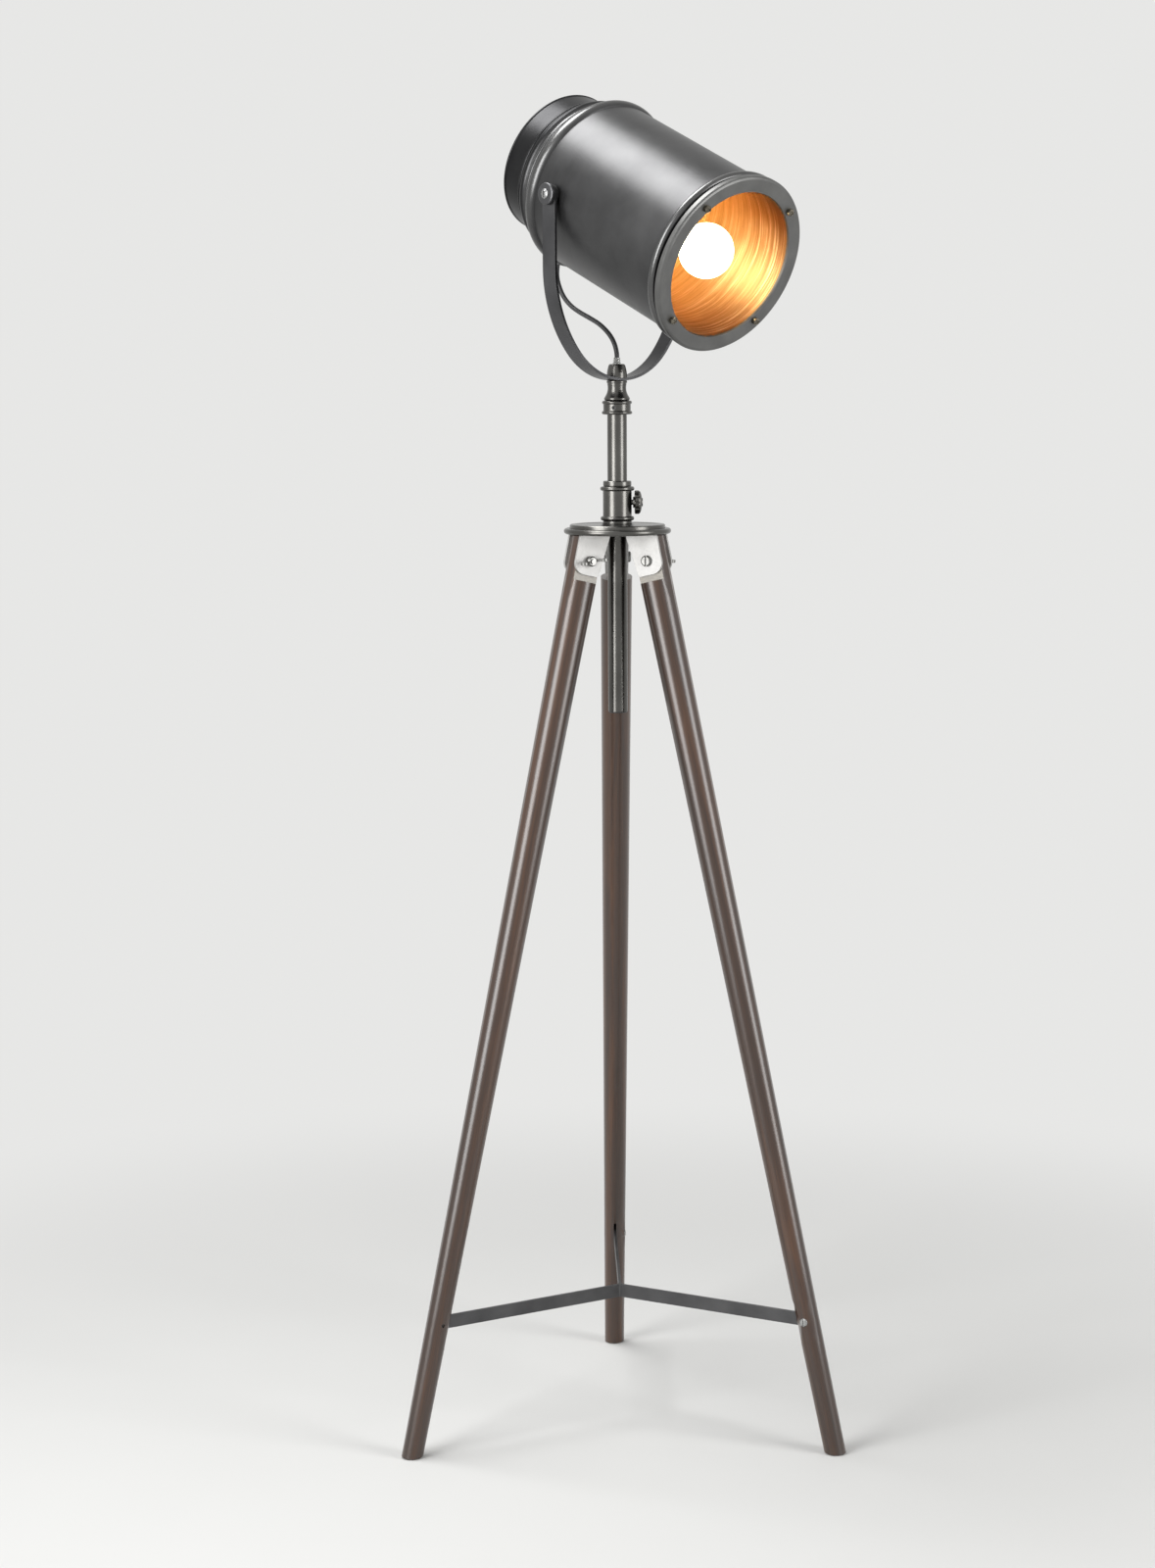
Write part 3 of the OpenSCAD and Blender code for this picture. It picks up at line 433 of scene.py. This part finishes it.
def castSilver():
    material, tree, shader = newMaterial("castSilver", metallic=1.0)
    point = localPoint(tree)
    grains = noise(tree, point, castSilverLook["grains"], detail=3, rough=0.6)
    cloudy = noise(tree, point, castSilverLook["clouds"], detail=3)
    tree.links.new(twoTone(tree, cloudy, *castSilverLook["tones"]), shader.inputs["Base Color"])
    tree.links.new(spread(tree, grains, *castSilverLook["roughness"]), shader.inputs["Roughness"])
    bump(tree, shader, grains, castSilverLook["relief"], castSilverLook["edge"])
    return material


# the legs' wood is stained, with its grain along the leg; the flats under the hub's ears are bare
wood = {
    "stain": [(0.28, linear(24, 13, 5)), (0.5, linear(50, 28, 12)), (0.72, linear(82, 49, 22))],
    "bare": linear(134, 126, 110),
    "bareShade": 0.62,             # of the bare wood's darker streaks
    "figure": (60, 60, 2.2),       # how fast each pattern changes across and along the leg
    "pores": (1400, 1400, 26),
    "sawn": (260, 260, 1500),
    "poreShare": 0.28,             # of the pores in the stain's tone
    "nextLeg": (3.1, 1.7, 0),      # moves the pattern on, so that no two legs are alike
    "flat": 0.0103,                # from the leg's middle plane to each flat
    "shoulder": -0.0235,           # where the flats end, below the bolt
    "margin": 0.0002,              # by which the bare wood reaches past them
    "roughness": (0.27, 0.42),
    "bareRougher": 0.3,
    "relief": 0.00006,
    "edge": 0.0006,
    "lacquer": {"Specular IOR Level": 0.2, "Coat Weight": 1.0, "Coat IOR": 1.6, "Coat Roughness": 0.27},
}


def bareFlat(tree, point):  # 1 on the leg's flats, 0 elsewhere
    parts = add(tree, "SeparateXYZ", {0: point}).outputs
    side = calc(tree, "ABSOLUTE", parts["Y"])
    inner, outer = aroundPlace(wood["flat"], wood["margin"])
    onPlane = calc(tree, "MULTIPLY", calc(tree, "LESS_THAN", side, outer),
                    calc(tree, "GREATER_THAN", side, inner))
    above = calc(tree, "GREATER_THAN", parts["Z"], wood["shoulder"] - wood["margin"])
    return calc(tree, "MULTIPLY", onPlane, above)


def stainedWood(number):
    material, tree, shader = newMaterial(f"stainedWood{number + 1}")
    point = localPoint(tree, legFrame(number))
    shifted = vectorMath(tree, "ADD", point, tuple(number * step for step in wood["nextLeg"]))
    figure = streaky(tree, shifted, wood["figure"], detail=5, rough=0.55, distortion=0.8)
    pores = streaky(tree, shifted, wood["pores"])
    stain = ramp(tree, stirred(tree, figure, pores, wood["poreShare"]), *wood["stain"])
    shade = tuple(wood["bareShade"] * c for c in wood["bare"])
    bare = twoTone(tree, streaky(tree, point, wood["sawn"]), shade, wood["bare"])
    onFlat = bareFlat(tree, point)
    tree.links.new(mixColour(tree, onFlat, stain, bare), shader.inputs["Base Color"])
    rougher = calc(tree, "MULTIPLY", onFlat, wood["bareRougher"])
    roughness = calc(tree, "ADD", spread(tree, pores, *wood["roughness"]), rougher)
    tree.links.new(roughness, shader.inputs["Roughness"])
    bump(tree, shader, pores, wood["relief"], wood["edge"])
    setSockets(shader, wood["lacquer"])
    return material


# the reflector is copper-coloured sheet scored round the cup, so that its shine runs along the
# can's axis; its tones are the shadow, the body and the scratches
copper = {
    "paintedGlowTones": ((0.56, 0.33, 0.15), (0.76, 0.49, 0.24), (0.93, 0.74, 0.46)),       # beside the bulb, lighter: painted light from the bulb
    "front": ((0.22, 0.115, 0.055), (0.39, 0.23, 0.115), (0.92, 0.72, 0.47)),   # at the opening, darker: painted shade
    "ends": (0.10, 0.185),    # where these two are, along the can's axis from the pivot
    "toneStops": (0.38, 0.52, 0.66),
    "fine": (520, 0.6),       # steps per metre along and outward, and pace on the way round
    "broad": (130, 1.2),
    "broadShare": 0.25,
    "wander": (14.0, 0.006),  # how often and how far the scores stray along the axis
    "roughness": (0.26, 0.42),
    "relief": 0.0004,
    "shine": {"Anisotropic": 0.8, "Anisotropic Rotation": 0.25},
}


def roundTheCup(tree, point):  # the direction of the scores, for the shine
    quarter = add(tree, "Mapping", {"Vector": acrossAxis(tree, point), "Rotation": (0, 0, math.pi / 2)})
    turned = add(tree, "Mapping", {"Vector": quarter.outputs[0], "Rotation": headFrame.to_euler("XYZ")})
    return add(tree, "VectorTransform", {"Vector": turned.outputs[0]}, vector_type="VECTOR",
               convert_from="OBJECT", convert_to="WORLD").outputs[0]


def copperCup():
    material, tree, shader = newMaterial("copperCup", metallic=1.0)
    point = localPoint(tree, headFrame)
    often, far = copper["wander"]
    strayed = calc(tree, "MULTIPLY", noise(tree, point, often), far)
    wound = vectorMath(tree, "ADD", point, add(tree, "CombineXYZ", {"Z": strayed}).outputs[0])
    fine = noise(tree, turnedPoint(tree, wound, *copper["fine"]), detail=6, rough=0.8)
    broad = noise(tree, turnedPoint(tree, wound, *copper["broad"]), detail=3, rough=0.6)
    scored = stirred(tree, fine, broad, copper["broadShare"])
    paintedGlowTones = ramp(tree, scored, *zip(copper["toneStops"], copper["paintedGlowTones"]))
    front = ramp(tree, scored, *zip(copper["toneStops"], copper["front"]))
    # painted light and shade: the copper is lighter beside the bulb and darker towards the opening
    forward = spread(tree, alongAxis(tree, point), 0.0, 1.0, copper["ends"])
    tree.links.new(mixColour(tree, forward, paintedGlowTones, front), shader.inputs["Base Color"])
    tree.links.new(spread(tree, scored, *copper["roughness"]), shader.inputs["Roughness"])
    bump(tree, shader, scored, copper["relief"])
    tree.links.new(roundTheCup(tree, point), shader.inputs["Tangent"])
    setSockets(shader, copper["shine"])
    return material


# the lit bulb
bulb = {
    "glow": ((1.0, 0.84, 0.52), (1.0, 0.89, 0.60)),
    "ends": (0.122, 0.185),  # of its glass, along the can's axis from the pivot
    "strength": 15.0,        # at the neck
    "fall": ((0.0, 1.0), (0.45, 0.42), (0.75, 0.36), (1.0, 0.05)),  # shares of it, neck to front
    "clouds": 60,
    "roughness": (0.2, 0.3),
}


def litGlass():
    material, tree, shader = newMaterial("litGlass")
    point = localPoint(tree, headFrame)
    cloudy = noise(tree, point, bulb["clouds"])
    tree.links.new(twoTone(tree, cloudy, *bulb["glow"]), shader.inputs["Emission Color"])
    tree.links.new(spread(tree, cloudy, *bulb["roughness"]), shader.inputs["Roughness"])
    forward = spread(tree, alongAxis(tree, point), 0.0, 1.0, bulb["ends"])
    share = ramp(tree, forward, *((place, grey(part)) for place, part in bulb["fall"]))
    tree.links.new(calc(tree, "MULTIPLY", share, bulb["strength"]), shader.inputs["Emission Strength"])
    setSockets(shader, {"Base Color": (1.0, 0.95, 0.86, 1)})
    return material


# plastic, rubber and blackened steel
coatLooks = {
    "blackPlastic": {
        "tones": (grey(0.012), grey(0.022)), "roughness": 0.42, "grain": 800, "relief": 0.00003,
    },
    "blackSteel": {
        "tones": (grey(0.015), grey(0.03)), "roughness": 0.35, "grain": 1200, "relief": 0.00002,
    },
    "blackRubber": {
        "tones": (grey(0.014), grey(0.024)), "roughness": 0.6, "grain": 1500, "relief": 0.00004,
    },
    "leadSheath": {
        "tones": ((0.03, 0.03, 0.031), (0.05, 0.05, 0.052)), "roughness": 0.38, "grain": 600,
        "relief": 0.00004,
    },
}
coatUnevenness = 0.06  # by which their roughness varies either way


def plainCoat(name, look):
    material, tree, shader = newMaterial(name)
    speckle = noise(tree, localPoint(tree), look["grain"], detail=3, rough=0.6)
    tree.links.new(twoTone(tree, speckle, *look["tones"]), shader.inputs["Base Color"])
    roughness = spread(tree, speckle, *aroundPlace(look["roughness"], coatUnevenness))
    tree.links.new(roughness, shader.inputs["Roughness"])
    bump(tree, shader, speckle, look["relief"])
    return material


clearLook = {
    "tones": ((0.80, 0.81, 0.78), (0.92, 0.92, 0.90)),
    "roughness": (0.10, 0.2),
    "clouds": 300,
    "depth": {"Transmission Weight": 0.75, "IOR": 1.45},
}


def clearPlastic():
    material, tree, shader = newMaterial("clearPlastic")
    cloudy = noise(tree, localPoint(tree), clearLook["clouds"])
    tree.links.new(twoTone(tree, cloudy, *clearLook["tones"]), shader.inputs["Base Color"])
    tree.links.new(spread(tree, cloudy, *clearLook["roughness"]), shader.inputs["Roughness"])
    setSockets(shader, clearLook["depth"])
    return material


# the finish of each piece
finishOf = {
    "leg_1": "stainedWood1", "leg_2": "stainedWood2", "leg_3": "stainedWood3",
    "leg_hub": "castSilver", "hub_disc": "polishedNickel", "collar": "polishedNickel",
    "leg_bolts": "dullZinc",
    "wing_nut_1": "dullZinc", "wing_nut_2": "dullZinc", "wing_nut_3": "dullZinc",
    "spreader": "barSteel", "spreader_screws": "brightSteel", "clamp_knob": "polishedNickel",
    "mast_tube": "mastNickel", "mast_bush": "blackPlastic",
    "swivel_ring": "polishedNickel", "ring_screw": "blackSteel",
    "neck": "polishedNickel", "neck_tube": "plainBrass", "neck_nut": "plainBrass",
    "yoke": "strapNickel", "dome_nut": "polishedNickel", "lead_bush": "clearPlastic",
    "head_lead": "leadSheath", "lead_grommet": "blackRubber",
    "pivot_caps": "strapNickel", "pivot_screws": "pivotSteel", "pivot_nuts": "pivotSteel",
    "pivot_washers": "blackPlastic",
    "can": "spunPewter", "rear_cap": "rearPewter",
    "bezel": "bezelPewter", "bezel_screws": "darkBronze",
    "liner": "copperCup", "liner_back": "copperBack",
    "lamp_holder": "blackPlastic", "bulb_cap": "pivotSteel", "bulb_glass": "litGlass",
}


def dressModel():
    finishes = {"castSilver": castSilver(), "copperCup": copperCup(), "litGlass": litGlass(),
                "clearPlastic": clearPlastic()}
    for number in range(legCount):
        finishes[f"stainedWood{number + 1}"] = stainedWood(number)
    for make, looks in ((turnedMetal, turnedLooks), (drawnMetal, drawnLooks), (plainCoat, coatLooks)):
        for name, look in looks.items():
            finishes[name] = make(name, look)
    for piece, finish in finishOf.items():
        nodes[piece].data.materials.clear()
        nodes[piece].data.materials.append(finishes[finish])
    headLead.data.materials.append(finishes[finishOf["head_lead"]])


dressModel()
print("finishes set")


# the studio: a pale floor that fades into an even backdrop
studio = {
    "backdrop": (0.80, 0.80, 0.79),
    "ambient": 0.28,          # the world's strength on the object's matt surfaces
    "floorRadius": 60.0,
    "floorSides": 96,
    "floorColour": (0.63, 0.63, 0.62),
    "floorRoughness": 0.8,
    "mottle": (3.0, 0.985),   # how fast the floor's tone changes, and its darker parts' share
    "fade": (0.5, 1.6),       # metres from the mast where the floor turns into the backdrop
}
softboxes = {  # place, aim, width and height, watts
    "topSoftbox": ((-0.75, 0.15, 3.2), (0, 0, 1.3), (1.3, 1.1), 58),
    "leftSoftbox": ((-1.75, -1.65, 1.4), (0, 0, 1.1), (1.15, 2.2), 60),
    "rightSoftbox": ((2.05, -1.25, 1.4), (0, 0, 1.1), (1.0, 2.2), 42),
}


def backdropStrength(tree):  # full for what is seen or mirrored, dimmer as a light
    path = add(tree, "LightPath").outputs
    mirrored = calc(tree, "MAXIMUM", path["Is Glossy Ray"], path["Is Transmission Ray"])
    seen = calc(tree, "MAXIMUM", path["Is Camera Ray"], mirrored)
    dimmed = studio["ambient"] / studio["backdrop"][0]
    return spread(tree, seen, dimmed, 1.0, (0.0, 1.0))


def makeWorld():
    world = bpy.data.worlds.new("studioWorld")
    world.use_nodes = True
    scene.world = world
    tree = world.node_tree
    background = tree.nodes["Background"]
    background.inputs["Color"].default_value = (*studio["backdrop"], 1)
    tree.links.new(backdropStrength(tree), background.inputs["Strength"])


def floorPaper():
    material, tree, shader = newMaterial("floorPaper")
    setSockets(shader, {"Roughness": studio["floorRoughness"]})
    point = localPoint(tree)
    often, share = studio["mottle"]
    pale = studio["floorColour"]
    tones = twoTone(tree, noise(tree, point, often, detail=3), tuple(share * c for c in pale), pale)
    tree.links.new(tones, shader.inputs["Base Color"])
    near, far = studio["fade"]
    away = vectorLength(tree, point)
    fade = add(tree, "MapRange", {"Value": away, "From Min": near, "From Max": far},
               interpolation_type="SMOOTHSTEP").outputs[0]
    strength = backdropStrength(tree)
    glow = add(tree, "Emission", {"Color": (*studio["backdrop"], 1), "Strength": strength})
    joined = add(tree, "MixShader", {0: fade, 1: shader.outputs[0], 2: glow.outputs[0]})
    tree.links.new(joined.outputs[0], tree.nodes["Material Output"].inputs["Surface"])
    return material


def makeFloor():
    bpy.ops.mesh.primitive_circle_add(vertices=studio["floorSides"], radius=studio["floorRadius"],
                                      fill_type="NGON")
    floor = bpy.context.object
    floor.name = "studioFloor"
    floor.data.materials.append(floorPaper())


def makeLights():
    for name, (place, aim, size, watts) in softboxes.items():
        data = bpy.data.lights.new(name, "AREA")
        data.shape = "RECTANGLE"
        data.size, data.size_y = size
        data.energy = watts
        lamp = bpy.data.objects.new(name, data)
        lamp.location = place
        lamp.rotation_euler = (Vector(aim) - Vector(place)).to_track_quat("-Z", "Y").to_euler()
        lamp.visible_camera = False
        scene.collection.objects.link(lamp)


makeWorld()
makeFloor()
makeLights()
scene.view_settings.view_transform = "Standard"
print("studio set")
